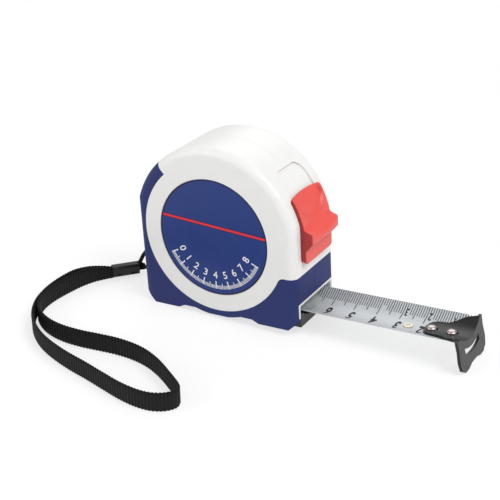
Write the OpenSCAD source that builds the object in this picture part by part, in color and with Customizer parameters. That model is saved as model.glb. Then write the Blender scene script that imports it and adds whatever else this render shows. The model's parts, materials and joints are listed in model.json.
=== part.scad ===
// Retractable tape measure: two-piece case with soft grips, a spring-wound
// blade on a spool, a thumb lock, a sliding end hook and a wrist strap.
// X points along the blade, Y across the case, Z up; the origin lies on the
// base plane, midway between the sides and under the centre of the label.

/* [Blade] */
// Width of the blade laid flat
blade_w = 25; // [22:0.5:27]
// Thickness of the blade with its coating
blade_t = 0.15; // [0.12:0.01:0.2]
// Whole length of the blade
blade_len = 8000; // [5000:500:8500]
// Radius of the blade's hollow cross-section
blade_curve_r = 18.9; // [17:0.1:24]
// Length of blade standing out of the mouth, up to its end
blade_out = 63.6; // [60:0.1:64]
// Length of the straight blade kept inside the mouth
blade_stub = 3.5; // [3:0.5:4]
// Corner cut at the end of the blade
tip_cut = 2.5; // [1:0.5:4]

/* [Case] */
// Radius of the wound coil of blade
coil_r = 25.8; // [25:0.1:27]
// Room around the coil for the lock slider and the screw bosses
coil_room = 9.4; // [9:0.1:11]
// Thickness of the outer wall
wall = 2.8; // [2.4:0.1:3.2]
// Thickness of each side wall
side_wall = 3.4; // [3:0.1:4]
// Room beside the coil on each side
side_gap = 1.1; // [0.9:0.1:1.6]
// Height of the coil's underside above the base
coil_base_z = 9; // [8.8:0.1:10]
// How far the flat front cuts into the rounded top
front_flat = 1; // [0.5:0.1:1.5]
// How far the flat rear cuts into the rounded top
rear_flat = 2; // [1:0.1:2.5]
// Radius of the case's outer edges
edge_r = 3.5; // [2:0.1:4]
// Thickness of the floor under the blade
floor_t = 2.7; // [2.5:0.1:2.9]
// Height of the hollows between the feet
notch_h = 1.4; // [0.8:0.1:1.5]

/* [Grips and labels] */
// Thickness of the soft grips
grip_t = 1.2; // [0.8:0.1:1.4]
// Outer radius of the pale ring round the label
ring_r = 32.3; // [30:0.1:33]
// Height of the grip's top edge on the front
grip_front_z = 22.6; // [20:0.1:24]
// Rounding of the grip's corner between its top edge and the ring
grip_corner_r = 3; // [1:0.5:4]
// Angle, seen from the side, at which the rear grip ends
grip_rear_angle = 131; // [120:1:140]
// Radius of the label
label_r = 25; // [22:0.5:27]
// Thickness of the label
label_t = 0.6; // [0.4:0.1:0.8]

/* [Mouth] */
// Room in the mouth on each side of the blade
mouth_gap = 1.8; // [1.4:0.1:2.4]
// Height of the mouth's top edge above the base
mouth_z = 9.9; // [9.5:0.1:10.5]
// Width of the pale edging round the mouth
trim_w = 1; // [0.5:0.1:1.2]
// Length of the lower lip along the blade
lip_len = 6; // [4:0.5:8]

/* [Lock] */
// Half the width of the thumb button
button_half = 11.5; // [9:0.5:12.5]
// Travel of the thumb button round the case, in degrees
button_travel = 12; // [8:1:13]
// Thickness of the slider inside the case
slider_t = 3; // [2:0.1:3.2]
// Half the width of the slider inside the case
slider_half = 5; // [4:0.5:6]
// Half the width of the track under the button
track_half = 9.4; // [7:0.1:10]
// Rounding of the track's upper corners
track_corner_r = 4; // [2:0.5:6]

/* [Spool] */
// Radius of the fixed arbor that the spool turns on
arbor_r = 4; // [3:0.1:5]
// Wall of the spool
spool_wall = 1.2; // [0.8:0.1:2]
// Turns of the mainspring
spring_turns = 6; // [4:1:8]
// Thickness of the mainspring strip
spring_t = 0.4; // [0.2:0.05:0.5]

/* [Hook] */
// Thickness of the hook's steel
hook_t = 1.2; // [0.8:0.1:1.3]
// Half the width of the hook's front plate
hook_half = 13; // [11:0.1:13.5]
// Depth of the hook's front plate below its top corners
hook_drop = 13.9; // [10:0.1:14]
// Outward lean of the hook's front plate, in degrees
hook_lean = 10; // [0:1:12]
// Radius of the rivets' shanks
rivet_r = 1.25; // [1:0.05:1.5]
// Distance between the two rivets
rivet_gap = 8.3; // [7:0.1:9]

/* [Fasteners and belt clip] */
// Radius of the case screws' shanks
screw_r = 1.25; // [1:0.05:1.5]
// Radius of the case screws' heads
screw_head_r = 2.4; // [2:0.1:2.6]
// Outer radius of the screw bosses
boss_r = 2.9; // [2.5:0.1:3]
// Thickness of the belt clip's steel
clip_t = 0.8; // [0.6:0.1:1]
// Width of the belt clip
clip_w = 16; // [12:1:20]
// Length of the belt clip
clip_len = 46; // [36:1:50]
// Gap between the belt clip and the case
clip_gap = 3.2; // [2:0.1:3.8]

/* [Wrist strap] */
// Width of the strap's webbing
strap_w = 8; // [6:0.5:10]
// Thickness of the strap's webbing
strap_t = 1.2; // [0.8:0.1:1.5]
// Radius of the thin cord between the case and the strap
cord_r = 0.9; // [0.6:0.1:1]
// Length of the moulded strap clip
strap_clip_len = 12; // [10:0.5:14]
// Radius of the pin that the cord goes round
pin_r = 1.2; // [0.8:0.1:1.5]

/* [Hidden] */
$fn = 120;

// Clearances
fit_gap = 0.05;
slide_gap = 0.3;
press_gap = 0.02;
cut = 1;

// Case
cavity_r = coil_r + coil_room;
top_r = cavity_r + wall;
label_z = coil_base_z + coil_r;
front_x = top_r - front_flat;
rear_x = top_r - rear_flat;
cavity_w = blade_w + 2 * side_gap;
case_w = cavity_w + 2 * side_wall;
side_y = case_w / 2;
cavity_y = cavity_w / 2;
belly_r = label_z + 0.3;
rear_foot_x = rear_x - 5;
rear_chamfer_z = 5.8;
front_foot_x = front_x - 4;
front_chamfer_z = 3.6;
notch_x = 19.2;
notch_slope = 3;
label_recess = label_t + 0.25;
label_gap = 0.15;
liner_t = 0.6;
liner_r = coil_r - 1.3;

// Blade cross-section: the trough's lowest point is its top face at blade_z
blade_z = 3.7;
half_angle = blade_w / 2 / blade_curve_r * 180 / PI;
half_chord = blade_curve_r * sin(half_angle);
blade_sag = blade_curve_r * (1 - cos(half_angle));
blade_axis_z = blade_z + blade_curve_r;
mouth_half = half_chord + mouth_gap;
blade_end_x = front_x + blade_out;
blade_start_x = front_x - blade_stub;
// The stored turns fill a ring whose area is the stored length times the thickness
stored_len = blade_len - blade_out - blade_stub;
spool_r = sqrt(coil_r * coil_r - stored_len * blade_t / PI);
drum_half = blade_w / 2;
spool_in_r = spool_r - spool_wall;
boss_ring_r = arbor_r + 2;
boss_ring_h = side_gap - 0.2;

// Lock: angles are measured round the label centre, upwards from the front
button_low = -11.5;
button_high = 30;
button_r = top_r + slide_gap;
button_panel_t = 1.7;
ledge_low = 0;
ledge_high = 9;
ledge_t = 4.6;
shank_low = 3;
shank_high = 13;
shank_half = 4;
track_top = 48;
track_depth = 0.8;
slider_low = -46;
slider_r = cavity_r - 1.6;
pad_x = (slider_r - slider_t) * cos(slider_low) - 1.75;
pad_len = 4.5;
pad_z = label_z + (slider_r - slider_t) * sin(slider_low) - 5.8;
pad_h = 6.5;

// Hook, drawn pulled out to the end of its rivet slots
hook_play = hook_t;
hook_in_x = blade_end_x + hook_play;
hook_plate_t = 1;
hook_gap = 0.05;
bend_z = blade_z + blade_sag;
rivet_x = hook_in_x - 14.4;
hook_tail_x = hook_in_x - 17.2;
rivet_head_r = 2.1;
rivet_head_h = 0.9;
rivet_tail_h = 0.35;
eyelet_x = blade_end_x - 23;
eyelet_r = 1.4;

// Screws that hold the case together, as [x, z]: one over the mouth and three round the coil
screw_gap = 0.7;
screw_top_gap = 2.6;
function round_coil(gap, a) = [(coil_r + gap + boss_r) * cos(a), label_z + (coil_r + gap + boss_r) * sin(a)];
screw_places = [[front_x - 6, mouth_z + 4.3], round_coil(screw_gap, 200.7),
    round_coil(screw_top_gap, 128.5), round_coil(screw_top_gap, 51.5)];
screw_head_h = 1.6;
screw_end_y = -cavity_y + 3;

// Belt clip on the right side
clip_base_len = 13;
clip_top_z = label_z + 14;
clip_screw_z = clip_top_z - 6.5;
clip_flare = 1.6;

// Lanyard pocket in the rear face
pocket_half = 5.5;
pocket_low = 10;
pocket_high = 19;
pocket_depth = 6.6;
pocket_wall = 1.4;
pin_x = -rear_x + grip_t + pin_r + slide_gap;
pin_z = (pocket_low + pocket_high) / 2;

// The floor rises towards the rear, because the hook's tip and the rear foot carry the object
tip_drop = hook_drop * cos(hook_lean) - bend_z;
floor_tilt = atan(tip_drop / (hook_in_x + rear_foot_x));
clip_turn = 48.5;
clip_mid = [-57, -2.2];
clip_h = 5;
clip_thick = 4.6;
clip_lift = 0.3;
strap_lift = 0.15;
knot_r = 1.8;
knot_mid = [-52, 3.5, 4.3];

// Strap centre line on the floor, from the clip round the loop and back
strap_route = [[-61.8, -5.9], [-64.5, -9.5], [-67.5, -15], [-70, -22], [-71, -30], [-70.7, -38],
    [-69.4, -45], [-67, -52], [-62.5, -59.5], [-56, -66.5], [-48, -72.2], [-39, -76.4],
    [-29, -79.8], [-19, -82.4], [-9, -85.3], [0, -87.8], [8, -89.1], [14.5, -88.8],
    [19.5, -86.4], [22, -82.6], [21, -79.2], [17.5, -76.3], [13, -73.2], [8, -69.8],
    [2.5, -66.6], [-4, -63.8], [-11, -62.2], [-19, -61.8], [-27, -62.6], [-35, -63.6],
    [-43, -63.7], [-50.5, -62.4], [-57.5, -59.4], [-63.4, -54.8], [-67, -49], [-68.7, -43],
    [-69, -36], [-68.2, -28], [-67, -21], [-64.9, -14.9], [-62.3, -10.6], [-60, -7.5]];
// Share of its full width that the strap has at its first points, where the clip gathers it
strap_gather = [0.56, 0.72, 0.9, 1];
// Cord from the strap clip over the pin and back, as [x, y, z]
loop_route = [[-54, 1.2, 4.8], [-52.2, 2.7, 6.4], [-50.4, 3.2, 9.6], [-47.3, 2.8, 13], [-42.5, 1.8, 15.8],
    [-38, 0.7, 16.8], [-35.2, 0.1, 17], [-33.3, 0, 16.85], [-31.65, 0, 16.15], [-30.95, 0, 14.5],
    [-31.65, 0, 12.85], [-33.3, 0, 12.15], [-35.4, 0.1, 11.7], [-39, 0.8, 10.2], [-43.5, 1.9, 7.6],
    [-47.5, 2.7, 5.2], [-50.5, 3.1, 3.7], [-52.2, 2.7, 3.3], [-54, 1.2, 3.2]];

// ---- Shared shapes ----

module at_label() {
    translate([0, 0, label_z]) children();
}

// Cylinder along Y, centred on the mid-plane
module drum(r, w) {
    rotate([90, 0, 0]) cylinder(r = r, h = w, center = true);
}

// Cylinder along Y between two heights across the case
module rod(r, y0, y1) {
    translate([0, y1, 0]) rotate([90, 0, 0]) cylinder(r = r, h = y1 - y0);
}

// Ring along Y between two positions across the case
module ring(r_out, r_in, y0, y1) {
    difference() {
        rod(r_out, y0, y1);
        rod(r_in, y0 - cut, y1 + cut);
    }
}

// Flat outline seen from the side, made w wide
module side_extrude(w) {
    rotate([90, 0, 0]) linear_extrude(w, center = true) children();
}

// Flat outline seen from the front, made long along X from x0 to x1
module front_extrude(x0, x1) {
    translate([x0, 0, 0]) rotate([90, 0, 90]) linear_extrude(x1 - x0) children();
}

// Slice of a ring between two angles round the label centre
module arc_block(r_in, r_out, low, high, half) {
    at_label() intersection() {
        ring(r_out, r_in, -half, half);
        side_extrude(2 * half + cut) polygon([[0, 0], for (a = [low : (high - low) / 4 : high + 0.001])
            2 * r_out * [cos(a), sin(a)]]);
    }
}

// Half of the case: side is -1 for the left half and 1 for the right
module keep_half(side) {
    intersection() {
        children();
        translate([-200, side > 0 ? 0 : -100, -100]) cube([400, 100, 300]);
    }
}

// ---- Case ----

// Outline of the hollow between the belly and one foot
module foot_notch(inset) {
    h = notch_h + inset / 2;
    difference() {
        polygon([[0, -cut], [notch_x, -cut], [notch_x, 0], [notch_x - notch_slope, h], [0, h]]);
        translate([0, label_z]) circle(belly_r);
    }
}

// The rear chamfer moves in by inset along its own normal
module side_outline(inset) {
    chamfer = rear_x - rear_foot_x;
    slant = norm([chamfer, rear_chamfer_z]);
    rise = inset * (slant - rear_chamfer_z) / chamfer;
    shift = inset * (slant - chamfer) / rear_chamfer_z;
    difference() {
        union() {
            translate([0, label_z]) circle(top_r - inset);
            polygon([[-rear_x + inset, label_z], [-rear_x + inset, rear_chamfer_z + rise],
                [-rear_foot_x + shift, inset], [front_foot_x, inset], [front_foot_x, 0],
                [front_x, front_chamfer_z], [front_x, label_z]]);
        }
        translate([front_x - inset, -cut]) square([20, 200]);
        translate([-rear_x + inset - 20, -cut]) square([20, 200]);
        translate([-100, -100 + inset]) square([200, 100]);
        foot_notch(inset);
        mirror([1, 0]) foot_notch(inset);
    }
}

module round_rect(x0, x1, half, r) {
    translate([x0 + r, -half]) square([x1 - x0 - 2 * r, 2 * half]);
    translate([x0, -half + r]) square([x1 - x0, 2 * half - 2 * r]);
    for (x = [x0 + r, x1 - r], y = [-half + r, half - r]) translate([x, y]) circle(r);
}

// Solid case with rounded edges, smaller by inset all round
module case_body(inset) {
    half = side_y - inset;
    r = edge_r - inset / 2;
    intersection() {
        side_extrude(2 * half) side_outline(inset);
        translate([0, 0, -cut]) linear_extrude(200) round_rect(-rear_x + inset, front_x - inset, half, r);
        union() {
            translate([-100, -50, -cut]) cube([200, 100, label_z + cut]);
            at_label() rotate([90, 0, 0]) rotate_extrude() {
                translate([0, -half]) square([top_r - inset - r, 2 * half]);
                translate([0, -half + r]) square([top_r - inset, 2 * half - 2 * r]);
                translate([top_r - inset - r, half - r]) circle(r);
                translate([top_r - inset - r, -half + r]) circle(r);
            }
        }
    }
}

// The rounding touches both the ring and the grip's top edge
module grip_outline() {
    mid_r = ring_r + grip_corner_r;
    drop = label_z - grip_front_z + grip_corner_r;
    mid_x = sqrt(mid_r * mid_r - drop * drop);
    share = ring_r / mid_r;
    difference() {
        polygon([[0, label_z], [100 * cos(grip_rear_angle), label_z + 100 * sin(grip_rear_angle)],
            [-100, -cut], [100, -cut], [100, grip_front_z], [0, grip_front_z]]);
        translate([0, label_z]) circle(ring_r);
        difference() {
            polygon([[mid_x, label_z - drop], [mid_x, grip_front_z + cut],
                [share * mid_x - cut, grip_front_z + cut], [share * mid_x, label_z - share * drop]]);
            translate([mid_x, label_z - drop]) circle(grip_corner_r);
        }
    }
}

// Pale edging that shows round the top and sides of the mouth
module mouth_trim() {
    translate([front_x - wall, -mouth_half - trim_w, front_chamfer_z + cut])
        cube([2 * wall, 2 * (mouth_half + trim_w), mouth_z + trim_w - front_chamfer_z - cut]);
}

// Soft skin over the lower and rear parts of the case
module grip_skin() {
    difference() {
        intersection() {
            case_body(0);
            side_extrude(case_w + cut) grip_outline();
        }
        case_body(grip_t);
        mouth_trim();
        mouth_cut();
        lanyard_pocket();
    }
}

// The case without its grips and before it is hollowed
module hard_body() {
    case_body(grip_t);
    difference() {
        case_body(0);
        side_extrude(case_w + cut) grip_outline();
    }
    intersection() {
        case_body(0);
        mouth_trim();
    }
}

module cavity() {
    side_extrude(cavity_w) union() {
        intersection() {
            translate([0, label_z]) circle(cavity_r);
            translate([-rear_x + wall, coil_base_z]) square([rear_x + front_x - 2 * wall, 200]);
        }
        translate([-rear_foot_x - 0.2, floor_t])
            square([rear_foot_x + 0.2 + front_x - wall, label_z - floor_t]);
    }
}

module mouth_cut() {
    translate([front_x - lip_len, -mouth_half, -cut]) cube([lip_len + cut, 2 * mouth_half, mouth_z + cut]);
}

module lanyard_pocket() {
    translate([-rear_x - cut, -pocket_half, pocket_low])
        cube([pocket_depth + cut, 2 * pocket_half, pocket_high - pocket_low]);
}

module pin_hole() {
    translate([pin_x, 0, pin_z]) drum(pin_r + fit_gap, 2 * (pocket_half + pocket_wall + fit_gap));
}

// Block that closes the pocket towards the inside of the case
module pocket_block() {
    translate([-rear_foot_x - cut, -pocket_half - pocket_wall, pocket_low - pocket_wall])
        cube([rear_foot_x + cut - rear_x + pocket_depth + pocket_wall, 2 * (pocket_half + pocket_wall),
            pocket_high - pocket_low + 2 * pocket_wall]);
}

module screw_bosses() {
    for (p = screw_places) translate([p[0], 0, p[1]]) drum(boss_r, cavity_w);
    at_label() ring(boss_ring_r, arbor_r, cavity_y - boss_ring_h, cavity_y + cut);
    at_label() ring(boss_ring_r, arbor_r, -cavity_y - cut, -cavity_y + boss_ring_h);
}

module screw_holes() {
    for (p = screw_places) translate([p[0], 0, p[1]]) {
        rod(screw_r + fit_gap, screw_end_y - cut, side_y + cut);
        rod(screw_head_r + slide_gap, side_y - grip_t - screw_head_h, side_y + cut);
    }
}

// Track that the button runs in, and the slot for its shank
module button_track() {
    top_z = label_z + top_r * sin(track_top);
    intersection() {
        arc_block(top_r - track_depth, top_r + cut, button_low, track_top + 5, track_half);
        front_extrude(0, 100) {
            translate([-track_half, 0]) square([2 * track_half, top_z - track_corner_r]);
            translate([-track_half + track_corner_r, 0]) square([2 * (track_half - track_corner_r), top_z]);
            for (side = [-1, 1]) translate([side * (track_half - track_corner_r), top_z - track_corner_r])
                circle(track_corner_r);
        }
    }
    arc_block(slider_r, top_r + cut, shank_low - 1, shank_high + button_travel + 1.5,
        shank_half + slide_gap);
}

module whole_shell() {
    difference() {
        union() {
            difference() {
                hard_body();
                cavity();
            }
            intersection() {
                union() {
                    screw_bosses();
                    pocket_block();
                }
                case_body(grip_t);
            }
        }
        mouth_cut();
        lanyard_pocket();
        button_track();
        screw_holes();
        pin_hole();
        at_label() rod(label_r + label_gap, side_y - label_recess, side_y + cut);
        at_label() rod(label_r + label_gap, -side_y - cut, -side_y + label_recess);
        translate([0, 0, clip_screw_z]) rod(screw_r + fit_gap, cavity_y - cut, side_y + cut);
    }
}

module left_shell() {
    color("whitesmoke") keep_half(-1) whole_shell();
}

module right_shell() {
    color("whitesmoke") keep_half(1) whole_shell();
}

module left_grip() {
    color("midnightblue") keep_half(-1) grip_skin();
}

module right_grip() {
    color("midnightblue") difference() {
        keep_half(1) grip_skin();
        screw_holes();
    }
}

module label(side) {
    outer = side * (side_y - label_recess + label_t);
    inner = side * (side_y - label_recess);
    at_label() rod(label_r, min(outer, inner), max(outer, inner));
}

module left_label() {
    color("royalblue") label(-1);
}

module right_label() {
    color("royalblue") difference() {
        label(1);
        translate([0, 0, clip_screw_z]) rod(screw_r + fit_gap, 0, side_y + cut);
    }
}

// Lower lip of the mouth, hollowed to follow the underside of the blade
module mouth_lip() {
    lip_gap = 0.8;
    color([0.08, 0.08, 0.09]) difference() {
        translate([front_x - lip_len + fit_gap, -mouth_half + fit_gap, 0.4])
            cube([lip_len - fit_gap, 2 * (mouth_half - fit_gap), 6.2]);
        front_extrude(front_x - lip_len - cut, front_x + cut)
            translate([0, blade_axis_z]) circle(blade_curve_r + blade_t + lip_gap);
        translate([front_x, -50, -1]) rotate([0, 45, 0]) cube([2, 100, 2]);
    }
}

// ---- Lock ----

module lock_button() {
    color([0.93, 0.3, 0.28]) intersection() {
        union() {
            arc_block(button_r, button_r + button_panel_t, button_low, button_high, button_half);
            arc_block(button_r, button_r + ledge_t, ledge_low, ledge_high, button_half);
            arc_block(button_r, button_r + ledge_t - 1.5, ledge_high, ledge_high + 6, button_half);
            arc_block(slider_r, button_r + cut, shank_low, shank_high, shank_half);
        }
        front_extrude(0, 100) union() {
            translate([0, label_z + 5]) circle(15.5);
            translate([-button_half, label_z - 5]) square([2 * button_half, 20]);
            translate([-button_half + 1.5, label_z - 20]) square([2 * button_half - 3, 35]);
        }
    }
}

module lock_slider() {
    color([0.15, 0.15, 0.16])
        arc_block(slider_r - slider_t, slider_r - press_gap, slider_low, shank_high + 1, slider_half);
}

module brake_pad() {
    color([0.1, 0.1, 0.1]) difference() {
        translate([pad_x, -slider_half, pad_z]) cube([pad_len, 2 * slider_half, pad_h]);
        arc_block(slider_r - slider_t - press_gap, slider_r + 10, slider_low - 30, shank_high, 50);
    }
}

// ---- Spool and spring ----

module arbor() {
    color("silver") at_label() difference() {
        drum(arbor_r - press_gap, cavity_w);
        translate([-spring_t, -cavity_y + 3, 0]) cube([2 * spring_t, cavity_w - 6, arbor_r + cut]);
    }
}

module spool() {
    color([0.2, 0.2, 0.22]) at_label() {
        ring(spool_r - press_gap, spool_in_r, -drum_half, drum_half);
        ring(spool_in_r + press_gap, arbor_r + fit_gap, -drum_half, -drum_half + spool_wall);
    }
}

module spool_cap() {
    color([0.25, 0.25, 0.27]) at_label()
        ring(spool_in_r - press_gap, arbor_r + fit_gap, drum_half - spool_wall, drum_half);
}

// Spiral strip from the arbor to the spool
function spiral(r, turn) = [for (a = [0 : 12 : 360 * spring_turns])
    (r + turn * a / 360) * [cos(a), sin(a)]];

module mainspring() {
    r0 = arbor_r + 2 * fit_gap;
    pitch = (spool_in_r - fit_gap - spring_t - r0) / spring_turns;
    inner = spiral(r0, pitch);
    outer = spiral(r0 + spring_t, pitch);
    count = len(inner);
    color([0.45, 0.45, 0.5]) at_label() side_extrude(2 * (drum_half - spool_wall) - 2)
        polygon([for (p = outer) p, for (i = [count - 1 : -1 : 0]) inner[i]]);
}

module blade_coil() {
    color([0.8, 0.84, 0.87]) at_label() ring(coil_r, spool_r, -drum_half, drum_half);
}

module liner(y0) {
    color([0.92, 0.92, 0.88]) at_label()
        ring(liner_r, boss_ring_r + fit_gap, y0, y0 + liner_t);
}

module left_liner() {
    liner(-cavity_y);
}

module right_liner() {
    liner(cavity_y - liner_t);
}

// ---- Blade ----

module blade_section() {
    intersection() {
        difference() {
            translate([0, blade_axis_z]) circle(blade_curve_r + blade_t);
            translate([0, blade_axis_z]) circle(blade_curve_r);
        }
        translate([-half_chord, 0]) square([2 * half_chord, blade_axis_z]);
    }
}

module blade() {
    color([0.8, 0.84, 0.87]) difference() {
        intersection() {
            front_extrude(blade_start_x, blade_end_x) blade_section();
            linear_extrude(30) polygon([[0, -20], [blade_end_x - tip_cut, -20],
                [blade_end_x - tip_cut, -half_chord], [blade_end_x, -half_chord + tip_cut],
                [blade_end_x, half_chord - tip_cut], [blade_end_x - tip_cut, half_chord],
                [blade_end_x - tip_cut, 20], [0, 20]]);
        }
        for (i = [0, 1]) translate([rivet_x + i * rivet_gap, 0, 0]) cylinder(r = rivet_r, h = 20);
        translate([eyelet_x, 0, 0]) cylinder(r = eyelet_r, h = 20);
    }
}

// Share of the trough shape at x: none at the coil, all of it at the mouth
lead_start_x = 2.5;
lead_step = (blade_start_x - press_gap - lead_start_x) / 12;
function ease(u) = u * u * (3 - 2 * u);
function lead_share(x) = ease((x - lead_start_x) / (blade_start_x - press_gap - lead_start_x));
// Point of the strip at x and at arc position s from -1 to 1
function lead_point(x, s, down) = let (
    share = lead_share(x),
    r = blade_curve_r / max(share, 0.02),
    a = s * blade_w / 2 / r * 180 / PI,
    low = coil_base_z - press_gap,
    mid = low + (blade_z - low) * share)
    [x, (r + down) * sin(a), mid + r - (r + down) * cos(a)];

// Strip of blade between the coil and the mouth
module blade_lead() {
    xs = [for (i = [0 : 12]) lead_start_x + i * lead_step];
    ss = [for (j = [-8 : 8]) j / 8];
    row = len(ss);
    ring_len = 2 * row;
    points = [for (x = xs) each concat([for (s = ss) lead_point(x, s, 0)],
        [for (j = [row - 1 : -1 : 0]) lead_point(x, ss[j], blade_t)])];
    sides = [for (i = [0 : len(xs) - 2], j = [0 : ring_len - 1])
        let (a = i * ring_len, b = a + ring_len, k = (j + 1) % ring_len)
        each [[a + j, a + k, b + k], [a + j, b + k, b + j]]];
    last = (len(xs) - 1) * ring_len;
    ends = [for (j = [0 : row - 2]) each [
        [j, ring_len - 1 - j, ring_len - 2 - j], [j, ring_len - 2 - j, j + 1],
        [last + j, last + ring_len - 2 - j, last + ring_len - 1 - j],
        [last + j, last + j + 1, last + ring_len - 2 - j]]];
    color([0.7, 0.74, 0.77]) polyhedron(points, concat(sides, ends));
}

// Small rimmed hole in the blade
module blade_eyelet() {
    rim = 0.5;
    color("silver") translate([eyelet_x, 0, blade_z - blade_t]) difference() {
        union() {
            cylinder(r = eyelet_r - press_gap, h = blade_t + 0.25);
            translate([0, 0, blade_t + 0.1]) cylinder(r = eyelet_r + rim, h = 0.3);
        }
        translate([0, 0, -cut]) cylinder(r = eyelet_r - rim, h = 5);
    }
}

// ---- Hook ----

module hook_front_outline() {
    difference() {
        polygon([[-hook_half, 0.3], [-hook_half + 0.4, -4], [-hook_half - 0.2, -8.5],
            [-hook_half + 0.7, -hook_drop + 1.8], [-hook_half + 3.5, -hook_drop], [-6, -hook_drop],
            [-2.5, -hook_drop + 1], [2.5, -hook_drop + 1], [6, -hook_drop],
            [hook_half - 3.5, -hook_drop], [hook_half - 0.7, -hook_drop + 1.8],
            [hook_half + 0.2, -8.5], [hook_half - 0.4, -4], [hook_half, 0.3]]);
        intersection() {
            difference() {
                translate([0, 10.5]) circle(19.3);
                translate([0, 10.5]) circle(17);
            }
            translate([-7.2, -12]) square([14.4, 8]);
        }
    }
}

module hook_top_outline() {
    tail = hook_tail_x;
    side = [[tail, 1.5], [tail + 0.6, 3.2], [tail + 1.8, 4.5], [tail + 4, 5.3], [tail + 7.6, 5.6],
        [tail + 9.6, 6.8], [tail + 11.6, 8.4], [tail + 13.8, 9.8], [hook_in_x + hook_plate_t, 11]];
    polygon([for (p = side) p, for (i = [len(side) - 1 : -1 : 0]) [side[i][0], -side[i][1]]]);
}

module hook() {
    top_r_out = blade_curve_r - hook_gap;
    color([0.16, 0.16, 0.17]) difference() {
        union() {
            intersection() {
                front_extrude(hook_tail_x - cut, hook_in_x + hook_plate_t)
                    translate([0, blade_axis_z]) circle(top_r_out);
                linear_extrude(20) hook_top_outline();
            }
            intersection() {
                translate([hook_in_x, 0, bend_z]) rotate([0, -hook_lean, 0])
                    front_extrude(0, hook_t) hook_front_outline();
                translate([hook_in_x, -50, -50]) cube([50, 100, 100]);
            }
        }
        front_extrude(hook_tail_x - 2 * cut, hook_in_x + 20)
            translate([0, blade_axis_z]) circle(top_r_out - hook_plate_t);
        for (i = [0, 1]) translate([rivet_x + i * rivet_gap, 0, 0]) {
            cylinder(r = rivet_r + slide_gap / 2, h = 20);
            translate([hook_play, 0, 0]) cylinder(r = rivet_r + slide_gap / 2, h = 20);
            translate([0, -rivet_r - slide_gap / 2, 0]) cube([hook_play, 2 * rivet_r + slide_gap, 20]);
        }
    }
}

module hook_rivets() {
    tail_z = blade_z - blade_t - rivet_tail_h;
    head_z = blade_z + hook_gap + hook_plate_t + 0.2;
    color([0.85, 0.78, 0.74]) for (i = [0, 1]) translate([rivet_x + i * rivet_gap, 0, 0]) {
        translate([0, 0, tail_z]) cylinder(r = rivet_r + 0.7, h = rivet_tail_h);
        translate([0, 0, tail_z]) cylinder(r = rivet_r - press_gap, h = head_z - tail_z + 0.1);
        translate([0, 0, head_z]) cylinder(r1 = rivet_head_r, r2 = rivet_head_r - 0.9, h = rivet_head_h);
    }
}

// ---- Fasteners and belt clip ----

module case_screws() {
    color("silver") for (p = screw_places) translate([p[0], 0, p[1]]) {
        rod(screw_r, screw_end_y, side_y - grip_t - 0.2);
        difference() {
            rod(screw_head_r, side_y - grip_t - screw_head_h, side_y - grip_t - 0.2);
            translate([0, side_y, 0]) cube([3, 3.4, 0.7], center = true);
            translate([0, side_y, 0]) cube([0.7, 3.4, 3], center = true);
        }
    }
}

module belt_clip() {
    face_y = side_y - label_recess + label_t;
    out_y = face_y + clip_gap + clip_t;
    tip_z = clip_top_z - clip_len;
    flare_z = tip_z + 5;
    color("silver") difference() {
        front_extrude(-clip_w / 2, clip_w / 2) polygon([
            [face_y, clip_top_z - clip_base_len], [face_y, clip_top_z],
            [out_y + clip_t, clip_top_z], [out_y + clip_t, flare_z],
            [out_y + clip_t + clip_flare, tip_z], [out_y + clip_flare, tip_z],
            [out_y, flare_z], [out_y, clip_top_z - clip_t],
            [face_y + clip_t, clip_top_z - clip_t], [face_y + clip_t, clip_top_z - clip_base_len]]);
        translate([0, 0, clip_screw_z]) rod(screw_r + fit_gap, 0, face_y + clip_t + cut);
        translate([0, 0, clip_screw_z]) rod(screw_head_r + 1, face_y + clip_t + 1, side_y + 20);
    }
}

module clip_screw() {
    face_y = side_y - label_recess + label_t;
    color("silver") translate([0, 0, clip_screw_z]) {
        rod(screw_r, cavity_y + 0.4, face_y + clip_t + 0.1);
        difference() {
            rod(screw_head_r, face_y + clip_t, face_y + clip_t + 1.4);
            translate([0, face_y + clip_t + 1.4, 0]) cube([0.7, 1.4, 3], center = true);
            translate([0, face_y + clip_t + 1.4, 0]) cube([3, 1.4, 0.7], center = true);
        }
    }
}

// ---- Wrist strap ----

module lanyard_pin() {
    color("silver") translate([pin_x, 0, pin_z]) drum(pin_r, 2 * (pocket_half + pocket_wall));
}

// Moves shapes drawn on a level floor onto the sloping plane that the object rests on
module on_floor() {
    translate([-rear_foot_x, 0, 0]) rotate([0, floor_tilt, 0]) translate([rear_foot_x, 0, 0]) children();
}

function unit(v) = v / norm(v);
function tangent(path, i) = unit(path[min(i + 1, len(path) - 1)] - path[max(i - 1, 0)]);

// Closed skin over rings of points, with both ends capped
module skin(rings) {
    n = len(rings[0]);
    m = len(rings);
    points = [for (r = rings) each r];
    sides = [for (i = [0 : m - 2], j = [0 : n - 1])
        let (a = i * n, b = a + n, k = (j + 1) % n)
        each [[a + j, b + j, b + k], [a + j, b + k, a + k]]];
    caps = [for (j = [1 : n - 2]) each [[0, j, j + 1], [(m - 1) * n, (m - 1) * n + j + 1, (m - 1) * n + j]]];
    polyhedron(points, concat(sides, caps));
}

function gathered(step) = strap_gather[min(step, len(strap_gather) - 1)];

// Webbing that stands on its edge along a route on the floor
module flat_cord(path, w, t, lift) {
    bevel = 0.3;
    x = t / 2;
    last = len(path) - 1;
    skin([for (i = [0 : last]) let (
        d = tangent(path, i),
        z = w / 2 * gathered(min(i, last - i)),
        outline = [[-x, z - bevel], [-x + bevel, z], [x - bevel, z], [x, z - bevel],
            [x, -z + bevel], [x - bevel, -z], [-x + bevel, -z], [-x, -z + bevel]])
        [for (q = outline) [path[i][0] + d[1] * q[0], path[i][1] - d[0] * q[0], lift + z + q[1]]]]);
}

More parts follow.
